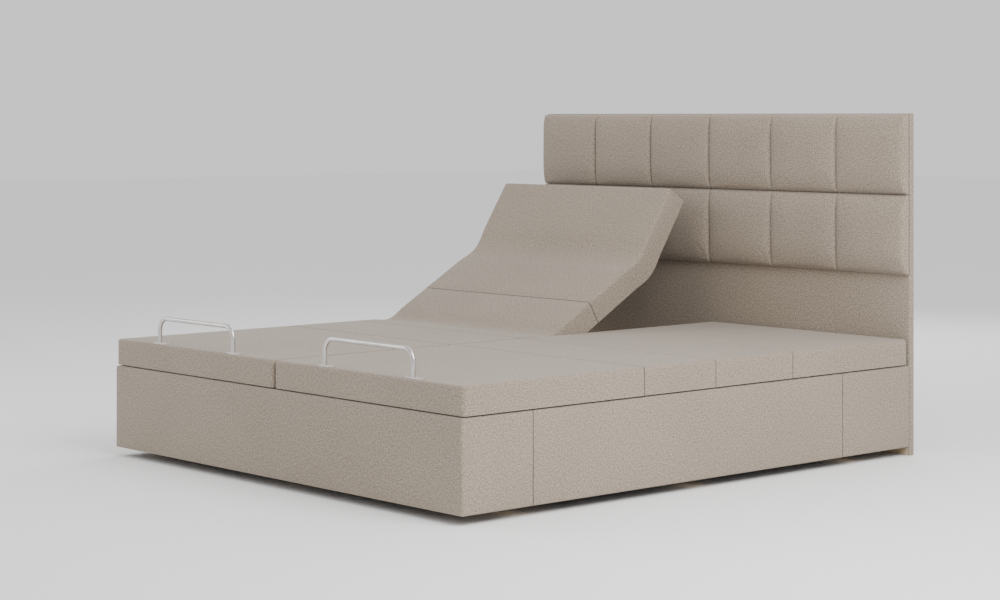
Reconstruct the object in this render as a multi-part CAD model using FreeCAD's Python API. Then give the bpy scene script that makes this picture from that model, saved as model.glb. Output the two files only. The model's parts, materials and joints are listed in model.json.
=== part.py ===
"""Adjustable bed base, 6 ft split: an upholstered box on glides, a tall panelled headboard, and two
side-by-side mattress platforms whose head, back, thigh and foot sections are moved by electric actuators.

Frame: millimetres, +Z up, +Y from foot to head, origin under the middle of the whole object on the floor.
Lengthwise places are worked out as a station, the distance from the foot face, and each half is worked out
in distances out from the centreline before it is placed on its side.
"""
import math
import os

import FreeCAD
import Part

# ---- driving dimensions -------------------------------------------------------------------------
WIDTH = 1800.0              # over the side panels
BASE_LENGTH = 2000.0        # foot face to the head end of the box
HEADBOARD_HEIGHT = 1160.0
HEADBOARD_GAP = 2.0
HEADBOARD_BOARD = 26.0      # thickness of the upholstered board
FLOOR_GAP = 30.0            # glides hold the box this far off the floor
BOX_TOP = 305.0
PANEL = 25.0                # upholstered panel thickness
DECK_BOTTOM = 309.0
DECK_TOP = 395.0
DECK_BOARD = 34.0           # board and foam; the side rails go down to DECK_BOTTOM
DECK_SIDE = 15.0
CENTRE_GAP = 4.0            # each half stops this far from the centreline
SECTION_GAP = 12.0          # each section stops this far from its hinge line
FOOT_PANEL_SEAM = 270.0     # stations of the upright seams in the side panels
HEAD_PANEL_SEAM = 1650.0

# stations of the hinge lines, foot to head
FOOT_END = 6.0
KNEE = 560.0
THIGH_HINGE = 890.0
BACK_HINGE = 1190.0
HEAD_HINGE = 1690.0
HEAD_END = 1990.0

HINGE_BELOW_TOP = 12.0
TOP_AXIS = DECK_TOP - HINGE_BELOW_TOP
KNEE_AXIS = DECK_BOTTOM + HINGE_BELOW_TOP

# section rails: two under each section, that carry the hinge eyes and the rollers run along
RAIL_OUT = (150.0, 750.0)   # distance of each rail from the centreline
RAIL_WIDTH = 25.0
RAIL_TOP = DECK_TOP - DECK_BOARD
RAIL_HEIGHT = 24.0
RAIL_WALL = 2.0
RAIL_BOTTOM = RAIL_TOP - RAIL_HEIGHT
PLATE = 5.0
EYE_R = 10.0
PIN_R = 5.0
RUNNING = 0.1               # radial clearance where something turns

# lift shafts, arms and rollers
SHAFT_R = 15.0
SHAFT_WALL = 2.5
BOSS_R = 22.0
ARM = 8.0
ARM_HEIGHT = 26.0
ROLLER_R = 16.0
ROLLER_WIDTH = 19.0
AXLE_R = 6.0
BACK_SHAFT = (BACK_HINGE - 180.0, TOP_AXIS - 90.0)
BACK_ARM = 450.0            # shaft to roller
BACK_ELBOW = (185.0, 95.0)  # along the arm, and how far it sags there to pass under the hinge
BACK_ARM_RISE = 3.45        # degrees above level with the section flat
BACK_LIFT_RATIO = 0.56      # shaft turn for each degree of the back section
LEG_SHAFT = (THIGH_HINGE + 75.0, TOP_AXIS - 65.0)
LEG_ARM = 300.0
LEG_ELBOW = (110.0, 30.0)
LEG_ARM_RISE = 0.48
LEG_LIFT_RATIO = 0.695
BACK_TRAVEL = 60.0
LEG_TRAVEL = 40.0
HEAD_TRAVEL = 30.0

# cranks and actuators
CRANK_R = 110.0
CRANK_PLATE = 10.0
CROSS_PIN_R = 6.0
SLOT_PLAY = 0.8
SLOPE = 1.02                # rod travel over the crank's small-angle travel
BACK_DRIVE_OUT = 330.0
LEG_DRIVE_OUT = 570.0
ROD_R = 10.0
TUBE_R = 17.0
HEAD_LEVER_R = 48.0
HEAD_DRIVE_OUT = 450.0
HEAD_PIN_R = 4.0
HEAD_SLOPE = 1.01

# calf links: with the thigh they make a parallelogram, so the calf section stays level
LINK_FRAME_PIN = (THIGH_HINGE - 310.0, TOP_AXIS - 86.0)
LINK_OFFSET = (KNEE - THIGH_HINGE, KNEE_AXIS - TOP_AXIS)

# how each half stands at rest: back and head section angles
REST = {"right": (0.0, 0.0), "left": (30.0, 27.0)}

MIDDLE = (BASE_LENGTH + HEADBOARD_GAP + HEADBOARD_BOARD) / 2
HALF = WIDTH / 2
X_AXIS = FreeCAD.Vector(1, 0, 0)
Y_AXIS = FreeCAD.Vector(0, 1, 0)
Z_AXIS = FreeCAD.Vector(0, 0, 1)
nodes = {}


# ---- small helpers ------------------------------------------------------------------------------
def point(out, station, z):
    return FreeCAD.Vector(out, station - MIDDLE, z)


def box(x0, x1, s0, s1, z0, z1):
    return Part.makeBox(x1 - x0, s1 - s0, z1 - z0, point(x0, s0, z0))


def rod_x(x0, x1, station, z, radius):
    return Part.makeCylinder(radius, x1 - x0, point(x0, station, z), X_AXIS)


def rod_y(out, s0, s1, z, radius):
    return Part.makeCylinder(radius, s1 - s0, point(out, s0, z), Y_AXIS)


def rod_z(out, station, z0, z1, radius):
    return Part.makeCylinder(radius, z1 - z0, point(out, station, z0), Z_AXIS)


def plate_x(outline, x0, x1):
    """A plate across X from an outline of (station, z) points."""
    corners = [point(x0, s, z) for s, z in outline]
    face = Part.Face(Part.makePolygon(corners + corners[:1]))
    return face.extrude(X_AXIS * (x1 - x0))


def square_tube_x(x0, x1, s0, s1, z0, z1, wall):
    inner = box(x0 - 1, x1 + 1, s0 + wall, s1 - wall, z0 + wall, z1 - wall)
    return box(x0, x1, s0, s1, z0, z1).cut(inner)


def square_tube_y(x0, x1, s0, s1, z0, z1, wall):
    inner = box(x0 + wall, x1 - wall, s0 - 1, s1 + 1, z0 + wall, z1 - wall)
    return box(x0, x1, s0, s1, z0, z1).cut(inner)


def round_edges(shape, radius, keep):
    """Fillets the edges whose middle point passes the test."""
    edges = [e for e in shape.Edges if keep(e.CenterOfMass)]
    return shape.makeFillet(radius, edges)


def turned(shape, pivot, degrees):
    """Turned about the X axis through a (station, z) pivot; positive lifts what is headward of it."""
    moved = shape.copy()
    moved.rotate(point(0, *pivot), X_AXIS, degrees)
    return moved


def slid(shape, along_y):
    moved = shape.copy()
    moved.translate(Y_AXIS * along_y)
    return moved


def inward(out):
    """+1 where the middle of the half is further out than this rail, and -1 where it is nearer in."""
    return 1.0 if out < (RAIL_OUT[0] + RAIL_OUT[1]) / 2 else -1.0


def band(out, near, far):
    """Both sides, low first, of a layer near..far from a rail's middle, towards the half's middle."""
    e = inward(out)
    return sorted((out + e * near, out + e * far))


# ---- box, headboard and fixed parts ---------------------------------------------------------------
def make_box_panels():
    foot = box(-HALF, HALF, 0, PANEL, FLOOR_GAP, BOX_TOP)
    nodes["foot_panel"] = [foot]
    spans = {"foot": (PANEL, FOOT_PANEL_SEAM), "middle": (FOOT_PANEL_SEAM, HEAD_PANEL_SEAM),
             "head": (HEAD_PANEL_SEAM, BASE_LENGTH)}
    for side, sign in (("right", 1), ("left", -1)):
        x0, x1 = sorted((sign * HALF, sign * (HALF - PANEL)))
        for name, (s0, s1) in spans.items():
            nodes[f"{side}_side_panel_{name}"] = [box(x0, x1, s0, s1, FLOOR_GAP, BOX_TOP)]


def make_timber():
    inner = HALF - PANEL
    nodes["head_end_panel"] = [box(-inner, inner, BASE_LENGTH - 20, BASE_LENGTH, 60, BOX_TOP - 5)]
    nodes["centre_beam"] = [box(-20, 20, PANEL, BASE_LENGTH - 20, 60, 300)]
    boards, glides = [], []
    for station in (250.0, 1000.0, 1750.0):
        boards.append(box(-inner, inner, station - 35, station + 35, FLOOR_GAP, 60))
        for x in (-640.0, 0.0, 640.0):
            cone = Part.makeCone(24, 28, 10, point(x, station, 0), Z_AXIS)
            glides.append(cone.fuse(rod_z(x, station, 10, FLOOR_GAP, 28)))
    nodes["bottom_boards"] = boards
    nodes["glides"] = glides


def make_headboard():
    front = BASE_LENGTH + HEADBOARD_GAP
    board = box(-HALF, HALF, front, front + HEADBOARD_BOARD, 0, HEADBOARD_HEIGHT)
    columns, depth, seam = 6, 36.0, 1.0
    rows = ((611.0, 882.0), (882.0, HEADBOARD_HEIGHT - 2))
    pitch = WIDTH / columns
    pads = []
    for z0, z1 in rows:
        for i in range(columns):
            x0 = -HALF + i * pitch
            pad = box(x0 + seam, x0 + pitch - seam, front - depth, front, z0 + seam, z1 - seam)
            pads.append(round_edges(pad, 14, lambda c: c.y < front - depth - MIDDLE + 0.1))
    nodes["headboard_pads"] = pads
    bolts = []
    for x in (-700.0, -250.0, 250.0, 700.0):
        shank = rod_y(x, front - HEADBOARD_GAP - 20, front + 14, 200, 4)
        head = rod_y(x, front - HEADBOARD_GAP - 26, front - HEADBOARD_GAP - 20, 200, 9)
        bolts.append(shank.fuse(head))
        board = board.cut(shank)
        nodes["head_end_panel"][0] = nodes["head_end_panel"][0].cut(shank)
    nodes["headboard_board"] = [board]
    nodes["headboard_bolts"] = bolts


def make_control_box():
    case = box(20, 110, 640, 860, 140, 200)
    nodes["control_box"] = [round_edges(case, 8, lambda c: c.x > 109)]


def both_sides(shapes):
    """The shapes, worked out for the right half, and their mirror images for the left."""
    origin = FreeCAD.Vector(0, 0, 0)
    return shapes + [s.mirror(origin, X_AXIS) for s in shapes]


def make_bearing_plates():
    """One plate on the side panel and one on the centre beam for each half, with a bore for each shaft."""
    plates = []
    for x0 in (20.0, HALF - PANEL - 6):
        plate = box(x0, x0 + 6, 925, 1050, 250, 345)
        for station, z in (BACK_SHAFT, LEG_SHAFT):
            plate = plate.cut(rod_x(x0 - 1, x0 + 7, station, z, SHAFT_R + RUNNING))
        plates.append(plate)
    nodes["bearing_plates"] = both_sides(plates)


def make_cross_tubes():
    """Square tubes from the centre beam to the side panel, with the brackets for drives and calf links."""
    inner = HALF - PANEL
    back_z = BACK_SHAFT[1] - CRANK_R
    leg_z = LEG_SHAFT[1] - CRANK_R
    tubes = [square_tube_x(20, inner, 450, 480, back_z - 15, back_z + 15, 2),
             square_tube_x(20, inner, 1490, 1520, leg_z - 15, leg_z + 15, 2)]
    for station in (575.0, 905.0, 1145.0):
        tubes.append(square_tube_x(20, inner, station, station + 30, 90, 120, 2))
    brackets = []
    pin_s, pin_z = LINK_FRAME_PIN
    for out in RAIL_OUT:
        x0, x1 = band(out, 26, 32)
        post = box(x0, x1, pin_s - 4, pin_s + 12, 120, pin_z).fuse(rod_x(x0, x1, pin_s, pin_z, 12))
        p0, p1 = band(out, 18.5, 32)
        brackets.append(post.fuse(rod_x(p0, p1, pin_s, pin_z, PIN_R)))
    nodes["cross_tubes"] = both_sides(tubes + brackets)


# ---- section rails with their hinge eyes ----------------------------------------------------------
def eye_plate(out, axis, toward, near, far, hole):
    """A plate on a rail's side that reaches a hinge axis. toward is +1 if its section is headward."""
    station, z = axis
    x0, x1 = band(out, near, far)
    reach = sorted((station + toward * 0.5, station + toward * (SECTION_GAP - 0.5)))
    along = sorted((station + toward * 0.5, station + toward * 60))
    low, high = sorted((z, (RAIL_BOTTOM + RAIL_TOP) / 2))
    plate = box(x0, x1, *reach, low, high)
    plate = plate.fuse(box(x0, x1, *along, RAIL_BOTTOM, RAIL_TOP))
    plate = plate.fuse(rod_x(x0, x1, station, z, EYE_R))
    if hole:
        plate = plate.cut(rod_x(x0 - 1, x1 + 1, station, z, PIN_R + RUNNING))
    return plate


def rail(out, start, end, fixed_eyes, moving_eyes):
    """A rail from start to end. fixed_eyes carry the pin, and moving_eyes turn on another rail's pin.
    Each eye is (axis, toward)."""
    half = RAIL_WIDTH / 2
    shape = square_tube_y(out - half, out + half, start, end, RAIL_BOTTOM, RAIL_TOP, RAIL_WALL)
    for axis, toward in fixed_eyes:
        shape = shape.fuse(eye_plate(out, axis, toward, half, half + PLATE, False))
        x0, x1 = band(out, -half - PLATE, half + PLATE)
        shape = shape.fuse(rod_x(x0, x1, *axis, PIN_R))
    for axis, toward in moving_eyes:
        shape = shape.fuse(eye_plate(out, axis, toward, -half - PLATE, -half, True))
    return shape.removeSplitter()


KNEE_PIN = (KNEE, KNEE_AXIS)
THIGH_PIN = (THIGH_HINGE, TOP_AXIS)
BACK_PIN = (BACK_HINGE, TOP_AXIS)
HEAD_PIN = (HEAD_HINGE, TOP_AXIS)
CALF_LINK_PIN = (LINK_FRAME_PIN[0] + LINK_OFFSET[0], LINK_FRAME_PIN[1] + LINK_OFFSET[1])


def make_seat_rails():
    rails = []
    for out in RAIL_OUT:
        start, end = THIGH_HINGE + SECTION_GAP + 1, BACK_HINGE - SECTION_GAP - 1
        rails.append(rail(out, start, end, [(THIGH_PIN, 1), (BACK_PIN, -1)], []))
        for station in (915.0, 1155.0):
            rails.append(box(out - 6, out + 6, station, station + 10, 120, RAIL_BOTTOM))
    nodes["seat_rails"] = both_sides(rails)


def back_rails():
    start, end = BACK_HINGE + SECTION_GAP + 1, HEAD_HINGE - SECTION_GAP - 1
    return [rail(out, start, end, [(HEAD_PIN, -1)], [(BACK_PIN, 1)]) for out in RAIL_OUT]


def thigh_rails():
    start, end = KNEE + SECTION_GAP + 1, THIGH_HINGE - SECTION_GAP - 1
    return [rail(out, start, end, [(KNEE_PIN, 1)], [(THIGH_PIN, -1)]) for out in RAIL_OUT]


def head_rails():
    """The head section's rails, and the slotted lever that its actuator pushes."""
    start, end = HEAD_HINGE + SECTION_GAP + 1, HEAD_END - 60
    shapes = [rail(out, start, end, [], [(HEAD_PIN, 1)]) for out in RAIL_OUT]
    x0, x1 = HEAD_DRIVE_OUT - 3, HEAD_DRIVE_OUT + 3
    outline = [(75, -22), (75, -48), (6, -68), (-26, -61), (-28, -38), (-9, -24)]
    lever = plate_x([(HEAD_HINGE + s, TOP_AXIS + z) for s, z in outline], x0, x1)
    slot = radial_slot(x0 - 1, x1 + 1, HEAD_PIN, HEAD_LEVER_R - 2, HEAD_LEVER_R + 4,
                       HEAD_PIN_R + SLOT_PLAY / 2)
    lever = lever.cut(turned(slot, HEAD_PIN, -HEAD_TRAVEL / 2))
    return shapes + [lever]


def calf_rails():
    start, end = FOOT_END + 30, KNEE - SECTION_GAP - 1
    shapes = []
    pin_s, pin_z = CALF_LINK_PIN
    half = RAIL_WIDTH / 2
    for out in RAIL_OUT:
        shapes.append(rail(out, start, end, [], [(KNEE_PIN, -1)]))
        x0, x1 = band(out, half, half + PLATE)
        hanger = box(x0, x1, pin_s - 14, pin_s + 14, pin_z, RAIL_TOP)
        hanger = hanger.fuse(rod_x(x0, x1, pin_s, pin_z, 14))
        hole = rod_x(x0 - 1, x1 + 1, pin_s, pin_z, PIN_R + 0.3)
        shapes.append(hanger.cut(hole).removeSplitter())
    return shapes


# ---- lift shafts, rollers, links and drives --------------------------------------------------------
def radial_slot(x0, x1, pivot, r0, r1, half_width):
    """A slot hanging straight down from a pivot, its round ends centred r0 and r1 below it."""
    station, z = pivot
    slot = box(x0, x1, station - half_width, station + half_width, z - r1, z - r0)
    for r in (r0, r1):
        slot = slot.fuse(rod_x(x0, x1, station, z - r, half_width))
    return slot


def flat_bar(x0, x1, start, end, height):
    """A round-ended bar across X between two (station, z) points."""
    length = math.dist(start, end)
    bar = box(x0, x1, start[0], start[0] + length, start[1] - height / 2, start[1] + height / 2)
    for station in (start[0], start[0] + length):
        bar = bar.fuse(rod_x(x0, x1, station, start[1], height / 2))
    return turned(bar, start, math.degrees(math.atan2(end[1] - start[1], end[0] - start[0])))


def lift_shaft(pivot, arm, elbow, rise, toward, drive_out, middle_turn):
    """A shaft with two roller arms and a slotted crank, welded up. toward is +1 for arms that reach headward.
    middle_turn is how far the shaft turns to its middle position, where the crank hangs straight down."""
    station, z = pivot
    shaft = rod_x(20.5, HALF - PANEL - 0.5, station, z, SHAFT_R)
    bore = rod_x(0, HALF, station, z, SHAFT_R - SHAFT_WALL)
    solids = [shaft.cut(bore)]
    hole = rod_x(0, HALF, station, z, SHAFT_R)
    for out in RAIL_OUT:
        x0, x1 = band(out, 20, 20 + ARM)
        end = station + toward * arm
        bend = (station + toward * elbow[0], z - elbow[1])
        bar = flat_bar(x0, x1, pivot, bend, ARM_HEIGHT).fuse(flat_bar(x0, x1, bend, (end, z), ARM_HEIGHT))
        bar = bar.fuse(rod_x(x0, x1, station, z, BOSS_R))
        a0, a1 = band(out, -14, 21)
        bar = bar.fuse(rod_x(a0, a1, end, z, AXLE_R))
        h0, h1 = band(out, -14, -11)
        bar = bar.fuse(rod_x(h0, h1, end, z, AXLE_R + 4))
        solids.append(turned(bar.cut(hole), pivot, toward * rise))
    x0, x1 = drive_out - CRANK_PLATE / 2, drive_out + CRANK_PLATE / 2
    low = CRANK_R + 14
    crank = rod_x(x0, x1, station, z, BOSS_R + 2).fuse(rod_x(x0, x1, station, z - low, 16))
    crank = crank.fuse(plate_x([(station - 22, z), (station + 22, z), (station + 16, z - low),
                                (station - 16, z - low)], x0, x1))
    slot = radial_slot(x0 - 1, x1 + 1, pivot, CRANK_R - 2, CRANK_R + 7, CROSS_PIN_R + SLOT_PLAY)
    crank = crank.cut(slot).cut(hole)
    solids.append(turned(crank, pivot, -toward * middle_turn))
    return solids


def rollers(pivot, arm, rise, toward):
    """A pair of nylon rollers on the arm ends, under the rails."""
    end = (pivot[0] + toward * arm, pivot[1])
    pair = []
    for out in RAIL_OUT:
        x0, x1 = band(out, -ROLLER_WIDTH / 2, ROLLER_WIDTH / 2)
        wheel = rod_x(x0, x1, *end, ROLLER_R).cut(rod_x(x0 - 1, x1 + 1, *end, AXLE_R + RUNNING))
        pair.append(turned(wheel, pivot, toward * rise))
    return pair


def pin_offset(middle_turn):
    """How far the cross pin stands from under its shaft, with the section flat."""
    return CRANK_R * SLOPE * math.radians(middle_turn)


def drive_rod(out, pin_station, z, toward, length, sizes):
    """A rod that ends in a fork with a cross pin. toward is +1 if it pushes headward."""
    rod_r, pin_r, reach, inner, cheek, tall = sizes
    base = pin_station - toward * reach
    far = base - toward * length
    shape = rod_y(out, *sorted((base, far)), z, rod_r)
    tip = pin_station + toward * tall * 0.8
    for side in (-1, 1):
        x0, x1 = sorted((out + side * inner, out + side * (inner + cheek)))
        shape = shape.fuse(box(x0, x1, *sorted((base, tip)), z - tall, z + tall))
    block = sorted((base, base - toward * 8))
    shape = shape.fuse(box(out - inner - cheek, out + inner + cheek, *block, z - tall, z + tall))
    return [shape.fuse(rod_x(out - inner - cheek, out + inner + cheek, pin_station, z, pin_r))]


DRIVE_SIZES = (ROD_R, CROSS_PIN_R, 32.0, CRANK_PLATE / 2 + 1, 6.0, 13.0)
HEAD_SIZES = (7.0, HEAD_PIN_R, 20.0, 4.0, 5.0, 9.0)


def actuator(out, z, motor, toward, tube_length, rod_r, tube_r, case, can):
    """Gear case, motor and outer tube. motor is the case's rear station; toward is the way the rod pushes."""
    case_length, case_half, case_low, case_high = case
    near = motor + toward * case_length
    body = box(out - case_half, out + case_half, *sorted((motor, near)), z - case_low, z + case_high)
    tube_end = near + toward * tube_length
    tube = rod_y(out, *sorted((near, tube_end)), z, tube_r)
    bore = rod_y(out, *sorted((motor + toward * 12, tube_end + toward)), z, rod_r + 0.5)
    solids = [tube.cut(bore), body.cut(bore)]
    if can:
        can_r, can_low = can
        solids.append(rod_z(out, motor + toward * case_length / 2, can_low, z - case_low, can_r))
    return solids


def calf_links():
    """Flat links from the frame pins to the calf hangers, each with its welded pin at the hanger."""
    links = []
    start, end = LINK_FRAME_PIN, CALF_LINK_PIN
    length = math.hypot(*LINK_OFFSET)
    slope = math.degrees(math.atan2(-LINK_OFFSET[1], -LINK_OFFSET[0]))
    for out in RAIL_OUT:
        x0, x1 = band(out, 19, 25)
        bar = box(x0, x1, start[0] - length, start[0], start[1] - 10, start[1] + 10)
        bar = bar.fuse(rod_x(x0, x1, start[0] - length, start[1], 12))
        bar = turned(bar.fuse(rod_x(x0, x1, *start, 12)), start, slope)
        bar = bar.cut(rod_x(x0 - 1, x1 + 1, *start, PIN_R + RUNNING))
        p0, p1 = band(out, 10.5, 20)
        links.append(bar.fuse(rod_x(p0, p1, *end, PIN_R)))
    return links


# ---- upholstered sections --------------------------------------------------------------------------
def deck(start, end, foot_rail=False, head_rail=False):
    """A section: board with foam, a side rail down each long side, and an end rail where it is asked for."""
    x0, x1 = CENTRE_GAP, HALF
    board_low = DECK_TOP - DECK_BOARD
    solids = [box(x0, x1, start, end, board_low, DECK_TOP)]
    s0, s1 = start, end
    if foot_rail:
        s0 = start + 24
        solids.append(box(x0, x1, start, s0, DECK_BOTTOM, board_low))
    if head_rail:
        s1 = end - 24
        solids.append(box(x0, x1, s1, end, DECK_BOTTOM, board_low))
    solids.append(box(x0, x0 + DECK_SIDE, s0, s1, DECK_BOTTOM, board_low))
    solids.append(box(x1 - DECK_SIDE, x1, s0, s1, DECK_BOTTOM, board_low))
    return solids


def retainer():
    """A bent round bar that stands up at the foot end and keeps the mattress from sliding."""
    r, corner, station, top = 7.0, 40.0, FOOT_END + 16, DECK_TOP + 85
    left, right = 240.0, 660.0
    turn = corner * (1 - math.sqrt(0.5))
    low = point(left, station, DECK_TOP)
    a, b = point(left, station, top - corner), point(left + corner, station, top)
    c, d = point(right - corner, station, top), point(right, station, top - corner)
    e = point(right, station, DECK_TOP)
    path = Part.Wire([Part.LineSegment(low, a).toShape(),
                      Part.Arc(a, point(left + turn, station, top - turn), b).toShape(),
                      Part.LineSegment(b, c).toShape(),
                      Part.Arc(c, point(right - turn, station, top - turn), d).toShape(),
                      Part.LineSegment(d, e).toShape()])
    ring = Part.Wire([Part.makeCircle(r, low, Z_AXIS)])
    return [path.makePipeShell([ring], True, False)]


# ---- one half, flat, as body -> node -> solids -----------------------------------------------------
BACK_MIDDLE = BACK_LIFT_RATIO * BACK_TRAVEL / 2
LEG_MIDDLE = LEG_LIFT_RATIO * LEG_TRAVEL / 2


def half_bodies():
    back_z = BACK_SHAFT[1] - CRANK_R
    leg_z = LEG_SHAFT[1] - CRANK_R
    head_z = TOP_AXIS - HEAD_LEVER_R
    back_pin = BACK_SHAFT[0] - pin_offset(BACK_MIDDLE)
    leg_pin = LEG_SHAFT[0] + pin_offset(LEG_MIDDLE)
    head_pin = HEAD_HINGE - HEAD_LEVER_R * HEAD_SLOPE * math.radians(HEAD_TRAVEL / 2)
    g = SECTION_GAP
    case = (75.0, 45.0, 33.0, 30.0)
    return {
        "base": {
            "seat_deck": deck(THIGH_HINGE + g, BACK_HINGE - g),
            "back_actuator": actuator(BACK_DRIVE_OUT, back_z, 480, 1, 340, ROD_R, TUBE_R, case, (32.0, 68.0)),
            "leg_actuator": actuator(LEG_DRIVE_OUT, leg_z, 1490, -1, 340, ROD_R, TUBE_R, case, (32.0, 80.0)),
        },
        "back": {
            "back_deck": deck(BACK_HINGE + g, HEAD_HINGE - g),
            "back_rails": back_rails(),
            "head_actuator": actuator(HEAD_DRIVE_OUT, head_z, 1300, 1, 220, 7.0, 13.0,
                                      (80.0, 30.0, 22.0, 26.0), None),
        },
        "head": {
            "head_deck": deck(HEAD_HINGE + g, HEAD_END, head_rail=True),
            "head_rails": head_rails(),
        },
        "head_rod": {"head_rod": drive_rod(HEAD_DRIVE_OUT, head_pin, head_z, 1, 110, HEAD_SIZES)},
        "thigh": {
            "thigh_deck": deck(KNEE + g, THIGH_HINGE - g),
            "thigh_rails": thigh_rails(),
        },
        "calf": {
            "calf_deck": deck(FOOT_END, KNEE - g, foot_rail=True),
            "calf_rails": calf_rails(),
            "mattress_retainer": retainer(),
        },
        "calf_links": {"calf_links": calf_links()},
        "back_lift": {"back_lift": lift_shaft(BACK_SHAFT, BACK_ARM, BACK_ELBOW, BACK_ARM_RISE, 1,
                                              BACK_DRIVE_OUT, BACK_MIDDLE)},
        "back_rollers": {"back_rollers": rollers(BACK_SHAFT, BACK_ARM, BACK_ARM_RISE, 1)},
        "back_rod": {"back_rod": drive_rod(BACK_DRIVE_OUT, back_pin, back_z, 1, 240, DRIVE_SIZES)},
        "leg_lift": {"leg_lift": lift_shaft(LEG_SHAFT, LEG_ARM, LEG_ELBOW, LEG_ARM_RISE, -1,
                                            LEG_DRIVE_OUT, LEG_MIDDLE)},
        "leg_rollers": {"leg_rollers": rollers(LEG_SHAFT, LEG_ARM, LEG_ARM_RISE, -1)},
        "leg_rod": {"leg_rod": drive_rod(LEG_DRIVE_OUT, leg_pin, leg_z, -1, 240, DRIVE_SIZES)},
    }


def at_rest(body, shape, back, head):
    """A flat shape moved to where its body stands with the back and head sections at these angles."""
    if body in ("back_lift", "back_rollers"):
        return turned(shape, BACK_SHAFT, BACK_LIFT_RATIO * back)
    if body == "back_rod":
        return slid(shape, CRANK_R * SLOPE * BACK_LIFT_RATIO * math.radians(back))
    if body == "head_rod":
        shape = slid(shape, HEAD_LEVER_R * HEAD_SLOPE * math.radians(head))
    if body == "head":
        shape = turned(shape, HEAD_PIN, head)
    if body in ("back", "head", "head_rod"):
        return turned(shape, BACK_PIN, back)
    return shape


def make_halves():
    origin = FreeCAD.Vector(0, 0, 0)
    for side, (back, head) in REST.items():
        for body, members in half_bodies().items():
            for name, shapes in members.items():
                placed = [at_rest(body, s, back, head) for s in shapes]
                if side == "left":
                    placed = [s.mirror(origin, X_AXIS) for s in placed]
                nodes[f"{side}_{name}"] = placed


def write_nodes():
    os.makedirs("parts", exist_ok=True)
    for name, solids in nodes.items():
        shape = solids[0] if len(solids) == 1 else Part.makeCompound(solids)
        if not shape.isValid():
            raise RuntimeError(f"{name} is not a valid solid")
        shape.exportStep(f"parts/{name}.step")
    print(len(nodes), "nodes")


make_box_panels()
make_timber()
make_headboard()
make_control_box()
make_bearing_plates()
make_cross_tubes()
make_seat_rails()
make_halves()
write_nodes()
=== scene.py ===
"""Upholstery, finishes and studio for the split adjustable bed base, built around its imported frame.

Lengths are metres in the frame's own axes: X across the bed, Y from foot to headboard, Z up.
"""
import json
import math

import bmesh
import bpy
from mathutils import Matrix, Vector, noise


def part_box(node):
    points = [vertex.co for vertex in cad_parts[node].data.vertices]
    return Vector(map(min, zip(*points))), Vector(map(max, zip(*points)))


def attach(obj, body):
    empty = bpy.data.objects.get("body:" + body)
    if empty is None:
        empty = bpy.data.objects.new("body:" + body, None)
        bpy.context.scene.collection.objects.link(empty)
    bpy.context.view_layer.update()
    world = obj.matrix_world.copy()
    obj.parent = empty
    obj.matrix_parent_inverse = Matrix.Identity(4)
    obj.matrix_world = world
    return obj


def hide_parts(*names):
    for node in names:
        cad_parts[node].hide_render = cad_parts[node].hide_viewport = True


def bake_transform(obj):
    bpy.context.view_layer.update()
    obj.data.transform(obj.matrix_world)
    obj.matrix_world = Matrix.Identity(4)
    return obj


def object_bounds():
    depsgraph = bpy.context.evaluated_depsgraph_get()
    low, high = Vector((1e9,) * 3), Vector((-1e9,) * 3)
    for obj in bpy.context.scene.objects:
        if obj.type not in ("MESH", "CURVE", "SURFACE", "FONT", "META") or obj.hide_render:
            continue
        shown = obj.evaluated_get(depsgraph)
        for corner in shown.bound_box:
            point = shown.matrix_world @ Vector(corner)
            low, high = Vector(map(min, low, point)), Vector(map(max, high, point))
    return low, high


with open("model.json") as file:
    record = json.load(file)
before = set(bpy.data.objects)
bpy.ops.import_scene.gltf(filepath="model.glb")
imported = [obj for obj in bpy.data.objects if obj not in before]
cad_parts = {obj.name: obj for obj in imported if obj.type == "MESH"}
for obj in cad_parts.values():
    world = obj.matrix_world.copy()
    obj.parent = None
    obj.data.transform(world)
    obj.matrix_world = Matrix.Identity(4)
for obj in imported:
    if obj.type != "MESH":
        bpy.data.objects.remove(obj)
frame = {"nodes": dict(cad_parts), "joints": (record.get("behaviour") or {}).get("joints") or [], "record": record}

bl_info = {
    "name": "Adjustable Bed Base Upholstery",
    "version": (1, 0, 0),
    "blender": (4, 5, 0),
    "location": "3D View > Sidebar > Bed Base",
    "description": "Upholsters and finishes a split adjustable bed base with a panelled headboard",
    "category": "Object",
}

SIDES = {"right": 1.0, "left": -1.0}
HAIR = 1e-4  # places closer together than this count as one
CAD_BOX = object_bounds()
JOINTS = {joint["name"]: joint for joint in frame["joints"]}


# ---- settings ------------------------------------------------------------------------------------
def distance(name, description, default, low, high):
    return bpy.props.FloatProperty(name=name, description=description, default=default, min=low, max=high,
                                   subtype="DISTANCE", unit="LENGTH")


def tint(name, description, default):
    return bpy.props.FloatVectorProperty(name=name, description=description, default=default, size=3,
                                         subtype="COLOR")


class BedClothSettings(bpy.types.PropertyGroup):
    base: tint("Cloth Colour", "Main yarn of the melange cloth", (0.288, 0.236, 0.184))
    light_fleck: tint("Light Fleck", "Palest fibres in the yarn", (0.50, 0.43, 0.355))
    dark_fleck: tint("Dark Fleck", "Darkest fibres in the yarn", (0.135, 0.104, 0.076))
    yarn: distance("Yarn Pitch", "Distance from one yarn to the next", 0.0022, 0.0005, 0.01)
    edge: distance("Edge Radius", "Roundness of a padded edge", 0.009, 0.001, 0.03)
    seam: distance("Seam Radius", "Roundness where two covers are sewn together", 0.003, 0.0005, 0.01)


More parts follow.
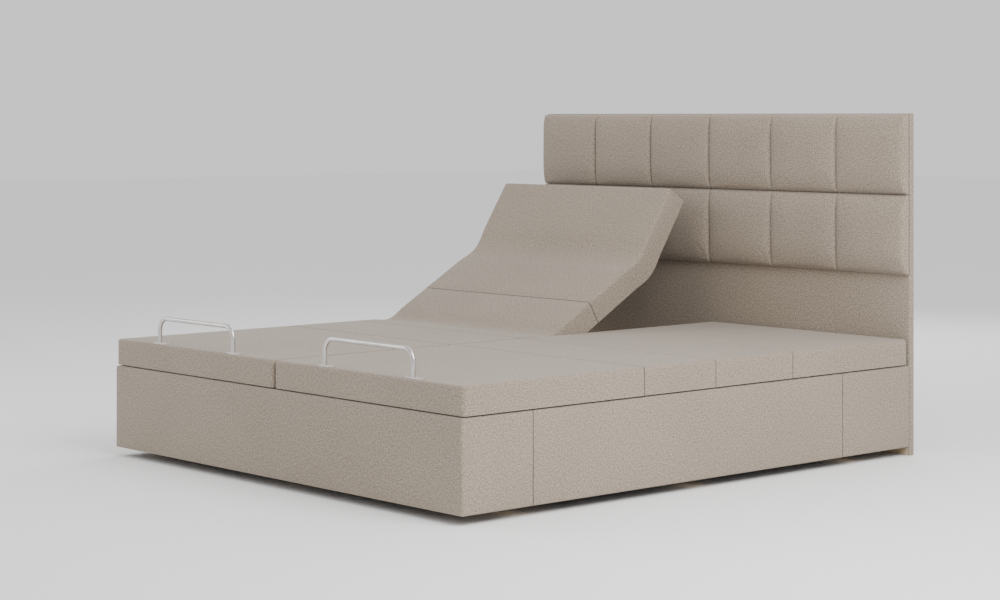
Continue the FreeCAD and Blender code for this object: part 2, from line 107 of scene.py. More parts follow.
class BedHeadboardSettings(bpy.types.PropertyGroup):
    columns: bpy.props.IntProperty(
        name="Columns", description="Padded tiles across the headboard", default=6, min=1, max=12)
    crown: distance("Crown", "How far the middle of a tile stands out past its sewn edge", 0.026, 0.002, 0.04)
    seam_depth: bpy.props.FloatProperty(
        name="Seam Depth", description="How deep a seam between tiles is drawn in, as a share of the crown",
        default=0.42, min=0.0, max=1.0)
    bare_wood: distance("Bare Wood Height", "Height of the uncovered stretch of the board's front",
                        0.29, 0.0, 0.6)


class BedSectionSettings(bpy.types.PropertyGroup):
    skirt: distance("Skirt Thickness", "Thickness of the side boards under each section", 0.015, 0.005, 0.05)
    bend: distance("Bend Length", "Half of the stretch over which the cover bends at a hinge",
                   0.075, 0.03, 0.15)
    softness: distance("Softness", "Height of the gentle unevenness of the foam", 0.0008, 0.0, 0.004)


class BedStudioSettings(bpy.types.PropertyGroup):
    floor: tint("Floor Colour", "Colour of the plain floor", (0.95, 0.95, 0.95))
    lens: bpy.props.FloatProperty(
        name="Lens", description="Focal length of the camera", default=80.66, min=20, max=200)
    key: bpy.props.FloatProperty(
        name="Key Light", description="Power of the large soft light", unit="POWER", default=155, min=0)


# ---- editing helpers -----------------------------------------------------------------------------
def select_only(*pieces):
    if bpy.context.mode != "OBJECT":
        bpy.ops.object.mode_set(mode="OBJECT")
    bpy.ops.object.select_all(action="DESELECT")
    for piece in pieces:
        piece.select_set(True)
    if pieces:
        bpy.context.view_layer.objects.active = pieces[0]


def settle(piece, name):
    """Names a new piece and applies its place, turn and size to its mesh."""
    piece.name = name
    piece.data.name = name
    select_only(piece)
    bpy.ops.object.transform_apply(location=True, rotation=True, scale=True)
    return piece


def block(name, low, high):
    low, high = Vector(low), Vector(high)
    select_only()
    bpy.ops.mesh.primitive_cube_add(size=1, location=(low + high) / 2)
    bpy.context.object.scale = high - low
    return settle(bpy.context.object, name)


def disc(name, centre, radius, depth, axis="Z", sides=32):
    turn = (math.pi / 2, 0, 0) if axis == "Y" else (0, 0, 0)
    select_only()
    bpy.ops.mesh.primitive_cylinder_add(vertices=sides, radius=radius, depth=depth, location=centre,
                                        rotation=turn)
    return settle(bpy.context.object, name)


def edit(piece):
    select_only(piece)
    bpy.ops.object.mode_set(mode="EDIT")


def done():
    bpy.ops.object.mode_set(mode="OBJECT")


def pick(piece, kind, test):
    """In edit mode, selects the faces or edges that pass the test and says how many there are."""
    bpy.ops.mesh.select_mode(type=kind)
    bpy.ops.mesh.select_all(action="DESELECT")
    mesh = bmesh.from_edit_mesh(piece.data)
    parts = [part for part in (mesh.faces if kind == "FACE" else mesh.edges) if test(part)]
    for part in parts:
        part.select_set(True)
    mesh.select_flush_mode()
    bmesh.update_edit_mesh(piece.data)
    return len(parts)


def middle(part):
    return sum((v.co for v in part.verts), Vector()) / len(part.verts)


def runs_along(edge, axis):
    way = edge.verts[1].co - edge.verts[0].co
    return abs(way[axis]) > 0.999 * way.length


def near(a, b, within=HAIR):
    return abs(a - b) < within


def at(part, axis, place, within=HAIR):
    """Whether the middle of an edge or a face lies at that place along the axis."""
    return near(middle(part)[axis], place, within)


def round_off(piece, test, radius, segments=4):
    if not pick(piece, "EDGE", test):
        raise RuntimeError(f"{piece.name} has no edge to round off")
    bpy.ops.mesh.bevel(offset=radius, segments=segments, affect="EDGES", clamp_overlap=True)


def sink(border, by):
    """Insets the selected faces and moves what is inside the border."""
    bpy.ops.mesh.inset(thickness=border)
    bpy.ops.transform.translate(value=by)


def cut(piece, axis, places):
    """Cuts all of the piece across an axis at each place."""
    normal = [0, 0, 0]
    normal[axis] = 1
    for place in places:
        point = [0, 0, 0]
        point[axis] = place
        bpy.ops.mesh.select_all(action="SELECT")
        bpy.ops.mesh.bisect(plane_co=point, plane_no=normal)


def repeat(piece, count, step):
    """Repeats the piece in a row, each copy one step on from the last."""
    row = piece.modifiers.new("row", "ARRAY")
    row.count = count
    row.use_relative_offset = False
    row.use_constant_offset = True
    row.constant_offset_displace = step
    select_only(piece)
    bpy.ops.object.modifier_apply(modifier=row.name)


def join(pieces, name):
    select_only(*pieces)
    bpy.ops.object.join()
    bpy.context.object.name = bpy.context.object.data.name = name
    return bpy.context.object


def chamfer(piece, radius, segments=2):
    """Rounds every edge sharper than a facet's, as on a moulded or pressed part."""
    edit(piece)
    round_off(piece, lambda e: e.is_manifold and e.calc_face_angle() > 0.6, radius, segments)
    done()
    return piece


def plate(name, low, high, corner, rim, segments=4):
    """A flat moulded or pressed plate with round corners and a softened rim."""
    piece = block(name, low, high)
    edit(piece)
    round_off(piece, lambda e: runs_along(e, 2), corner, segments)
    done()
    return chamfer(piece, rim)


def screws(places, radius, height, name):
    """Softly rounded screw heads, as one piece."""
    return join([chamfer(disc("screw", place, radius, height, sides=20), 0.0006) for place in places], name)


def mirror(piece):
    """Turns a piece into its twin across the bed's middle."""
    piece.data.transform(Matrix.Scale(-1, 4, (1, 0, 0)))
    piece.data.flip_normals()


def spaced(start, end, step):
    count = max(1, round((end - start) / step))
    return [start + (end - start) * i / count for i in range(1, count)]


def smooth(piece, angle=35):
    select_only(piece)
    bpy.ops.object.shade_smooth_by_angle(angle=math.radians(angle))


def lay_cloth(piece):
    """A UV map in metres, laid flat on each face from the side it faces most."""
    mesh = piece.data
    layer = mesh.uv_layers.get("cloth") or mesh.uv_layers.new(name="cloth")
    for face in mesh.polygons:
        facing = max(range(3), key=lambda i: abs(face.normal[i]))
        u, v = (axis for axis in range(3) if axis != facing)
        for corner in face.loop_indices:
            place = mesh.vertices[mesh.loops[corner].vertex_index].co
            layer.data[corner].uv = (place[u], place[v])


def soften(piece, height, keep):
    """Moves each point a little along its normal by slow noise, where keep(point) is true."""
    for vertex in piece.data.vertices:
        if keep(vertex.co):
            swell = noise.noise(vertex.co * 7.0) + 0.5 * noise.noise(vertex.co * 19.0)
            vertex.co += vertex.normal * swell * height
    piece.data.update()


def dress(piece, body, slot, *finishes):
    """Gives the piece its finishes and the body it rides on. The slot argument is not used."""
    piece.data.materials.clear()
    for finish in finishes:
        piece.data.materials.append(FINISHES[finish])
    if body:
        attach(piece, body)


# ---- finishes ------------------------------------------------------------------------------------
class Recipe:
    """A small helper for building one node material."""

    def __init__(self, name):
        self.material = bpy.data.materials.new(name)
        self.material.use_nodes = True
        self.tree = self.material.node_tree
        self.shader = self.tree.nodes["Principled BSDF"]

    def feed(self, socket, value):
        """Links a socket, or sets the value on it."""
        if isinstance(value, bpy.types.NodeSocket):
            self.tree.links.new(value, socket)
        else:
            socket.default_value = (*value[:3], 1.0) if socket.type == "RGBA" else value

    def node(self, kind, inputs=None, **settings):
        made = self.tree.nodes.new(kind)
        for key, value in settings.items():
            setattr(made, key, value)
        for key, value in (inputs or {}).items():
            self.feed(made.inputs[key], value)
        return made

    def place(self, kind="Object", scale=(1, 1, 1)):
        """Coordinates from the piece: Object, or UV for its own cloth map."""
        if kind == "UV":
            source = self.node("ShaderNodeUVMap", uv_map="cloth").outputs["UV"]
        else:
            source = self.node("ShaderNodeTexCoord").outputs["Object"]
        return self.node("ShaderNodeMapping", {"Vector": source, "Scale": scale}).outputs[0]

    def noise(self, vector, scale, detail=3.0, roughness=0.5):
        return self.node("ShaderNodeTexNoise", {"Vector": vector, "Scale": scale, "Detail": detail,
                                                "Roughness": roughness}).outputs["Fac"]

    def span(self, value, low, high, to_low=0.0, to_high=1.0):
        return self.node("ShaderNodeMapRange", {"Value": value, "From Min": low, "From Max": high,
                                                "To Min": to_low, "To Max": to_high}).outputs["Result"]

    def maths(self, operation, a, b=0.0):
        return self.node("ShaderNodeMath", {0: a, 1: b}, operation=operation).outputs[0]

    def mix(self, share, a, b):
        return self.node("ShaderNodeMix", {"Factor": share, 6: a, 7: b}, data_type="RGBA").outputs[2]

    def bump(self, height, distance, strength=1.0, under=None):
        inputs = {"Height": height, "Distance": distance, "Strength": strength}
        if under:
            inputs["Normal"] = under
        return self.node("ShaderNodeBump", inputs).outputs["Normal"]

    def finish(self, **sockets):
        for key, value in sockets.items():
            self.feed(self.shader.inputs[key.replace("_", " ")], value)
        return self.material


def melange_cloth(settings):
    """Flecked plain-weave upholstery cloth, warp along V and weft along U of the cloth map."""
    r = Recipe("melange_cloth")
    flat = r.place("UV")
    turns = 2 * math.pi / settings.yarn
    axes = r.node("ShaderNodeSeparateXYZ", {0: flat})
    warp = r.maths("SINE", r.maths("MULTIPLY", axes.outputs[0], turns / 2))
    weft = r.maths("SINE", r.maths("MULTIPLY", axes.outputs[1], turns / 2))
    weave = r.maths("MULTIPLY", warp, weft)
    slub_along = r.noise(r.place("UV", scale=(520, 70, 1)), 1.0, 2.0)
    slub_across = r.noise(r.place("UV", scale=(70, 520, 1)), 1.0, 2.0)
    fleck = r.noise(flat, 330.0, 3.0, 0.7)
    cloud = r.noise(flat, 2.3, 2.0)
    yarn = r.maths("ADD", slub_along, slub_across)
    neps = r.noise(flat, 210.0, 2.0, 0.6)
    fibres = r.maths("ADD", r.maths("MULTIPLY", yarn, 0.5), fleck)
    tone = r.maths("ADD", r.maths("MULTIPLY", fibres, 0.55), r.maths("MULTIPLY", neps, 0.9))
    light = r.span(tone, 1.0, 1.24)
    dark = r.span(tone, 1.0, 0.78)
    colour = r.mix(r.maths("MULTIPLY", light, 0.8), settings.base, settings.light_fleck)
    colour = r.mix(r.maths("MULTIPLY", dark, 0.8), colour, settings.dark_fleck)
    shade = r.span(cloud, 0.3, 0.7, 0.96, 1.04)
    colour = r.node("ShaderNodeVectorMath", {0: colour, 3: shade}, operation="SCALE").outputs[0]
    relief = r.maths("ADD", r.maths("MULTIPLY", weave, 0.5), fibres)
    soft = r.bump(cloud, 0.004, 0.25)
    normal = r.bump(relief, 0.0005, 0.45, soft)
    rough = r.span(fleck, 0.2, 0.8, 0.86, 0.98)
    return r.finish(Base_Color=colour, Roughness=rough, Normal=normal, Sheen_Weight=0.22,
                    Sheen_Roughness=0.45, Specular_IOR_Level=0.25)


def lining_cloth():
    """Thin charcoal non-woven lining with its pressed dots."""
    r = Recipe("lining_cloth")
    flat = r.place("UV")
    dots = r.node("ShaderNodeTexVoronoi", {"Vector": flat, "Scale": 420.0}).outputs["Distance"]
    fibres = r.noise(flat, 900.0, 4.0, 0.7)
    colour = r.mix(fibres, (0.018, 0.018, 0.02), (0.05, 0.05, 0.053))
    height = r.maths("ADD", dots, r.maths("MULTIPLY", fibres, 0.6))
    return r.finish(Base_Color=colour, Roughness=0.92, Normal=r.bump(height, 0.0005, 0.5),
                    Sheen_Weight=0.1, Specular_IOR_Level=0.2)


def sawn_wood(name, along):
    """Pale wood with its grain along one axis."""
    r = Recipe(name)
    scale = {"X": (1.2, 26, 26), "Y": (26, 1.2, 26)}[along]
    stretched = r.place("Object", scale=scale)
    rings = r.node("ShaderNodeTexWave", {"Vector": stretched, "Scale": 0.28, "Distortion": 9.0,
                                         "Detail": 3.0, "Detail Scale": 1.4},
                   wave_type="RINGS").outputs["Fac"]
    pores = r.noise(r.place("Object", scale=tuple(s * 12 for s in scale)), 1.0, 4.0, 0.65)
    colour = r.mix(r.span(rings, 0.2, 0.9), (0.75, 0.59, 0.41), (0.66, 0.49, 0.32))
    colour = r.mix(r.span(pores, 0.55, 0.8, 0.0, 0.55), colour, (0.44, 0.30, 0.18))
    height = r.maths("ADD", r.maths("MULTIPLY", rings, 0.25), pores)
    return r.finish(Base_Color=colour, Roughness=r.span(pores, 0.2, 0.8, 0.55, 0.75),
                    Normal=r.bump(height, 0.0005, 0.5))


def powder_coat(name, colour, rough):
    """Powder-coated steel with its fine orange-peel surface and a little dust."""
    r = Recipe(name)
    peel = r.noise(r.place(), 650.0, 2.0)
    dust = r.noise(r.place(), 9.0, 4.0, 0.6)
    paler = tuple(min(1.0, c * 1.8 + 0.012) for c in colour)
    mixed = r.mix(r.span(dust, 0.45, 0.75, 0.0, 0.5), colour, paler)
    return r.finish(Base_Color=mixed, Roughness=r.span(dust, 0.3, 0.7, rough - 0.06, rough + 0.1),
                    Normal=r.bump(peel, 0.0003, 0.45), Specular_IOR_Level=0.5)


def plated_steel(name, colour, rough, streak):
    """Plated steel, drawn along one axis, with faint blotches in the plating."""
    r = Recipe(name)
    drawn = r.noise(r.place("Object", scale=streak), 1.0, 3.0, 0.7)
    blotch = r.noise(r.place(), 22.0, 3.0)
    mixed = r.mix(r.span(blotch, 0.35, 0.7), colour, tuple(c * 0.8 for c in colour))
    return r.finish(Base_Color=mixed, Metallic=1.0, Normal=r.bump(drawn, 0.0002, 0.3),
                    Roughness=r.span(drawn, 0.2, 0.8, rough - 0.07, rough + 0.08))


def moulded_plastic(name, colour, rough):
    """Moulded plastic with a fine spark-eroded grain."""
    r = Recipe(name)
    grain = r.node("ShaderNodeTexVoronoi", {"Vector": r.place(), "Scale": 900.0}).outputs["Distance"]
    haze = r.noise(r.place(), 14.0, 3.0)
    paler = tuple(min(1.0, c * 1.25 + 0.006) for c in colour)
    return r.finish(Base_Color=r.mix(haze, colour, paler), Normal=r.bump(grain, 0.0003, 0.4),
                    Roughness=r.span(haze, 0.3, 0.7, rough - 0.05, rough + 0.07))


def seam_shadow():
    """Painted shade for the bottom of a seam: a dark cloth colour standing in for the shadow in the groove."""
    r = Recipe("painted_seam_shade")
    fibres = r.noise(r.place(), 700.0, 3.0)
    return r.finish(Base_Color=r.mix(fibres, (0.07, 0.058, 0.047), (0.13, 0.11, 0.09)), Roughness=0.95)


def sewing_thread():
    """Twisted thread, a little paler than the cloth."""
    r = Recipe("sewing_thread")
    twist = r.node("ShaderNodeTexWave", {"Vector": r.place(), "Scale": 500.0, "Distortion": 0.6},
                   bands_direction="DIAGONAL").outputs["Fac"]
    return r.finish(Base_Color=r.mix(twist, (0.30, 0.25, 0.20), (0.52, 0.46, 0.39)), Roughness=0.7,
                    Normal=r.bump(twist, 0.0003, 0.6))


def plain_floor(settings):
    r = Recipe("studio_floor")
    patch = r.noise(r.place(), 1.5, 2.0)
    tone = tuple(c * 0.99 for c in settings.floor)
    return r.finish(Base_Color=r.mix(patch, settings.floor, tone), Roughness=0.9, Specular_IOR_Level=0.0)


FINISHES = {}


def mix_finishes(scene):
    FINISHES.update({
        "cloth": melange_cloth(scene.bed_cloth),
        "lining": lining_cloth(),
        # seam: painted seam shade, a dark cloth colour standing in for the shadow in seam grooves
        "seam": seam_shadow(),
        "thread": sewing_thread(),
        "pine_along": sawn_wood("sawn_pine_lengthwise", "Y"),
        "pine_across": sawn_wood("sawn_pine_crosswise", "X"),
        "birch": sawn_wood("headboard_birch", "X"),
        "black_steel": powder_coat("black_powder_coat", (0.018, 0.018, 0.02), 0.42),
        "zinc": plated_steel("zinc_plate", (0.62, 0.63, 0.65), 0.34, (300, 12, 300)),
        "nickel": plated_steel("satin_nickel", (0.66, 0.64, 0.61), 0.27, (14, 260, 260)),
        "housing": moulded_plastic("charcoal_housing", (0.03, 0.031, 0.034), 0.5),
        "black_nylon": moulded_plastic("black_nylon", (0.012, 0.012, 0.013), 0.55),
        "white_nylon": moulded_plastic("white_nylon", (0.72, 0.72, 0.69), 0.42),
    })


# ---- pieces --------------------------------------------------------------------------------------
class BED_OT_finish_frame(bpy.types.Operator):
    """Gives each frame part that stays in view its timber, steel, nylon or plastic finish"""
    bl_idname = "bed.finish_frame"
    bl_label = "Finish Frame Parts"

    def execute(self, context):
        mix_finishes(context.scene)
        by_slot = {"taupe_upholstery": "cloth", "pale_timber": "pine_along", "black_nylon": "black_nylon",
                   "white_nylon": "white_nylon", "charcoal_plastic": "housing", "bright_steel": "zinc",
                   "retainer_finish": "nickel", "black_steel": "black_steel"}
        crosswise = ("head_end_panel", "bottom_boards")
        for part in frame["record"]["subparts"]:
            node = frame["nodes"][part["node"]]
            finish = "pine_across" if part["node"] in crosswise else by_slot[part["material_slot"]]
            node.data.materials.clear()
            node.data.materials.append(FINISHES[finish])
        return {"FINISHED"}


class BED_OT_upholster_box(bpy.types.Operator):
    """Covers the foot panel and the side panels of the box, with a sewn seam where two panels meet and painted
    shade in its groove
    """
    bl_idname = "bed.upholster_box"
    bl_label = "Upholster Box"
    TOP_SHARE, LOW_SHARE = 0.8, 0.35  # of a padded edge's radius, along the panels' top and bottom
    GRID, MARGIN, UNEVEN = 0.03, 0.02, 0.0006
    HEADBOARD_GAP, HEM = 0.028, 0.045

    def execute(self, context):
        cloth = context.scene.bed_cloth
        self.cover("foot_panel", cloth, corner=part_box("foot_panel")[0].y)
        for side in SIDES:
            for part in ("foot", "middle", "head"):
                self.cover(f"{side}_side_panel_{part}", cloth)
        return {"FINISHED"}

    def cover(self, node, cloth, corner=None):
        low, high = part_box(node)
        piece = block(f"{node}_cover", low, high)
        is_side = corner is None
        edit(piece)
        if is_side:
            outside = high.x if high.x > 0 else low.x
            round_off(piece, lambda e: at(e, 0, outside) and at(e, 2, high.z),
                      cloth.edge * self.TOP_SHARE)
            round_off(piece, lambda e: at(e, 0, outside) and at(e, 2, low.z),
                      cloth.edge * self.LOW_SHARE, 3)
            ends = [high.y] if node.endswith("foot") else [low.y, high.y]
            radius = {y: cloth.seam for y in ends}
            if near(high.y, CAD_BOX[1].y - self.HEADBOARD_GAP, 0.004):
                radius[high.y] = cloth.edge
            for y in ends:
                round_off(piece, lambda e: at(e, 1, y) and not runs_along(e, 0)
                          and abs(middle(e).x - outside) < cloth.edge, radius[y], 3)
            cut(piece, 1, spaced(low.y, high.y, self.GRID))
        else:
            round_off(piece, lambda e: at(e, 1, corner) and runs_along(e, 2), cloth.edge, 5)
            for z, share, segments in ((high.z, self.TOP_SHARE, 4), (low.z, self.LOW_SHARE, 3)):
                round_off(piece, lambda e: at(e, 2, z) and middle(e).y < high.y - 1e-3,
                          cloth.edge * share, segments)
            cut(piece, 0, spaced(low.x, high.x, self.GRID))
        cut(piece, 2, spaced(low.z + self.MARGIN, high.z - self.MARGIN, self.GRID))
        done()
        soften(piece, self.UNEVEN, lambda p: low.z + self.MARGIN < p.z < high.z - self.MARGIN)
        lay_cloth(piece)
        smooth(piece)
        wood = "pine_along" if is_side else "pine_across"
        dress(piece, "base", "taupe_upholstery", "cloth", "seam", wood)
        inward = Vector((-outside, 0, 0)).normalized() if is_side else Vector((0, 1, 0))
        for face in piece.data.polygons:
            c = face.center
            # Faces by a seam between panels get the painted seam shade (material 1): dark colour where the
            # groove's shadow falls
            sewn = is_side and min(abs(c.y - y) for y in ends) < cloth.seam * 0.7 \
                and abs(face.normal.y) < 0.999
            bare = face.normal.dot(inward) > 0.99 and c.z < high.z - self.HEM
            face.material_index = 1 if sewn else 2 if bare else 0
        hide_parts(node)


class BED_OT_upholster_headboard(bpy.types.Operator):
    """Covers the headboard's board, leaves its low front bare and lines its back"""
    bl_idname = "bed.upholster_headboard"
    bl_label = "Upholster Headboard"
    BORDER, STEP, RECESS, REVEAL = 0.045, 0.0015, 0.0012, 0.002

    def execute(self, context):
        cloth, board = context.scene.bed_cloth, context.scene.bed_headboard
        low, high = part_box("headboard_board")
        piece = block("headboard_cover", low, high)
        edit(piece)
        round_off(piece, lambda e: runs_along(e, 2) or (at(e, 2, high.z) and runs_along(e, 0)),
                  cloth.edge * 0.75, 4)
        cut(piece, 2, [low.z + board.bare_wood])
        pick(piece, "FACE", lambda f: f.normal.y > 0.99)
        bpy.ops.mesh.inset(thickness=self.BORDER, use_even_offset=True)
        sink(self.STEP, (0, -self.RECESS, 0))
        bpy.ops.object.mode_set(mode="OBJECT")
        bpy.ops.object.mode_set(mode="EDIT")
        pick(piece, "FACE", lambda f: f.normal.y < -0.99 and middle(f).z < low.z + board.bare_wood)
        sink(self.REVEAL, (0, self.RECESS, 0))
        done()
        lay_cloth(piece)
        dress(piece, "base", "taupe_upholstery", "cloth", "birch", "lining")
        for face in piece.data.polygons:
            c, way = face.center, face.normal.y
            if way < -0.9 and c.z < low.z + board.bare_wood and c.y > low.y + 0.001:
                face.material_index = 1
            if way > 0.9 and c.y < high.y - 0.001:
                face.material_index = 2
        smooth(piece)
        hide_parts("headboard_board")
        return {"FINISHED"}


def crowned(fraction, sharpness=9.0, fullness=2.6):
    """Height of a stuffed pad from its edge (fraction 1) to its middle (0), as a share of its crown."""
    return max(0.0, 1.0 - abs(fraction) ** sharpness) ** (1.0 / fullness)


class BED_OT_pad_headboard(bpy.types.Operator):
    """Sews the two rows of stuffed tiles on the front of the headboard"""
    bl_idname = "bed.pad_headboard"
    bl_label = "Pad Headboard"
    # FOLD: depth of the painted-shade strip at the back of each tile's sides
    FOLD, GRID, GAP = 0.003, 0.007, 0.0007
    LOWER_ROW = 0.2715  # height of the lower row of tiles
    END_DEPTH = 0.5  # how far the outermost edges are drawn in, as a share of the crown
    MOMENTS, MOST_MOVE, KEEP_IN, UNEVEN = 20, 0.006, 0.0003, 0.0012

    def execute(self, context):
        board = context.scene.bed_headboard
        low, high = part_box("headboard_pads")
        pitch = (high.x - low.x) / board.columns
        split = low.z + self.LOWER_ROW
        for row, (z0, z1) in enumerate(((split, high.z), (low.z, split)), start=1):
            size = Vector((pitch, high.y - low.y, z1 - z0))
            between = self.stuffed(f"tile_pattern_{row}", size, board.crown, board.seam_depth,
                                   board.seam_depth)
            at_end = self.stuffed(f"end_tile_pattern_{row}", size, board.crown, board.seam_depth,
                                  self.END_DEPTH)
            for column in range(board.columns):
                centre = Vector((low.x + pitch * (column + 0.5), high.y, (z0 + z1) / 2))
                outermost = column in (0, board.columns - 1)
                self.place(at_end if outermost else between, f"headboard_tile_{row}_{column + 1}", centre,
                           turned=column == 0)
            bpy.data.objects.remove(between)
            bpy.data.objects.remove(at_end)
        return {"FINISHED"}

    def stuffed(self, name, size, crown, left, right):
        """One tile about the origin, its back at y 0, its left and right edges drawn in by those shares."""
        half, edge_depth = size / 2, size.y - crown
        piece = block(name, (-half.x, -edge_depth, -half.z), (half.x, 0, half.z))
        edit(piece)
        cut(piece, 0, spaced(-half.x, half.x, self.GRID))
        cut(piece, 2, spaced(-half.z, half.z, self.GRID))
        cut(piece, 1, [-self.FOLD])
        done()
        for vertex in piece.data.vertices:
            x, z = vertex.co.x / half.x, vertex.co.z / half.z
            if vertex.co.y < -edge_depth + HAIR:
                drawn_in = (right if x > 0 else left) * (1 - crowned(x))
                vertex.co.y -= crown * (1 - drawn_in) * crowned(z, 5.0, 2.2)
            vertex.co.x -= math.copysign(self.GAP, x) if abs(x) > 0.5 else 0
            vertex.co.z -= math.copysign(self.GAP, z) if abs(z) > 0.5 else 0
        piece.data.update()
        self.relax(piece, half, edge_depth)
        return piece

    def relax(self, piece, half, edge_depth):
        """Lets the cloth pull itself into shape over its stuffing, with its edges sewn down."""
        before = [v.co.copy() for v in piece.data.vertices]
        sewn = piece.vertex_groups.new(name="sewn")
        sewn.add([v.index for v in piece.data.vertices if v.co.y > -edge_depth - HAIR
                  or abs(v.co.x) > half.x - 0.001 or abs(v.co.z) > half.z - 0.001], 1.0, "REPLACE")
        cloth = piece.modifiers.new("cloth", "CLOTH")
        cloth.settings.vertex_group_mass = "sewn"
        cloth.settings.use_pressure = True
        cloth.settings.uniform_pressure_force = 2.2
        cloth.settings.tension_stiffness = 12
        cloth.settings.bending_stiffness = 0.35
        cloth.settings.quality = 6
        cloth.settings.effector_weights.gravity = 0
        cloth.point_cache.frame_end = self.MOMENTS
        for moment in range(1, self.MOMENTS + 1):
            bpy.context.scene.frame_set(moment)
        select_only(piece)
        bpy.ops.object.modifier_apply(modifier="cloth")
        bpy.context.scene.frame_set(1)
        for vertex, start in zip(piece.data.vertices, before):
            moved = vertex.co - start
            if moved.length > self.MOST_MOVE:
                vertex.co = start + moved.normalized() * self.MOST_MOVE
            vertex.co.x = min(max(vertex.co.x, -half.x + self.KEEP_IN), half.x - self.KEEP_IN)
            vertex.co.z = min(max(vertex.co.z, -half.z + self.KEEP_IN), half.z - self.KEEP_IN)
        piece.data.update()

    def place(self, pattern, name, centre, turned):
        piece = pattern.copy()
        piece.data = pattern.data.copy()
        bpy.context.scene.collection.objects.link(piece)
        piece.name, piece.data.name = name, name
        piece.vertex_groups.clear()
        if turned:
            mirror(piece)
        piece.data.transform(Matrix.Translation(centre))
        soften(piece, self.UNEVEN, lambda p: p.y < centre.y - 0.014)
        lay_cloth(piece)
        select_only(piece)
        bpy.ops.object.shade_smooth()
        dress(piece, "base", "taupe_upholstery", "cloth", "seam")
        for face in piece.data.polygons:
            # The strip round the back of each tile's sides gets the painted seam shade, standing in for the shadow
            # in the gap between tiles
            painted_shade = face.center.y > centre.y - self.FOLD and abs(face.normal.y) < 0.5
            face.material_index = 1 if painted_shade else 0
        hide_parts("headboard_pads")


def hinge_place(side, hinge):
    return Vector(JOINTS[f"{side}_{hinge}_hinge"]["pos_m"])


def back_turn(side):
    """The turn that takes the lowered back section to where it stands at rest."""
    back = hinge_place(side, "back")
    turn = Matrix.Rotation(rest_angle(side, "back"), 4, "X")
    return Matrix.Translation(back) @ turn @ Matrix.Translation(-back)


def flat_to_rest(piece, side):
    piece.data.transform(back_turn(side))


def lowered_pivot(side):
    """The head hinge's place with that half's back section laid flat."""
    back, head = hinge_place(side, "back"), hinge_place(side, "head")
    return back + Matrix.Rotation(-rest_angle(side, "back"), 3, "X") @ (head - back)


def rest_angle(side, joint):
    """How far that hinge stands open at rest."""
    return -math.radians(JOINTS[f"{side}_{joint}_hinge"]["range_deg"][0])


def share_along(point, start, end):
    way = end - start
    t = min(1.0, max(0.0, (point - start).dot(way) / way.length_squared))
    return t * t * (3 - 2 * t)


def bent(point, pivot, angle, start, end):
    """The place of a flat cover's point once the hinge stands at angle, bending from start to end."""
    low, high = 0.0, 1.0
    for _ in range(30):
        share = (low + high) / 2
        turned = pivot + Matrix.Rotation(angle * share, 3, "X") @ (point - pivot)
        if share_along(turned, start, end) > share:
            low = share
        else:
            high = share
    return turned


def section_seams():
    """Where the covers of a lowered half are sewn together, foot to head."""
    thigh, seat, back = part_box("right_thigh_deck"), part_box("right_seat_deck"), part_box("right_back_deck")
    return {"thigh": (thigh[0].y + thigh[1].y) / 2, "seat": (seat[0].y + seat[1].y) / 2,
            "back": back[0].y + 0.42 * (back[1].y - back[0].y)}


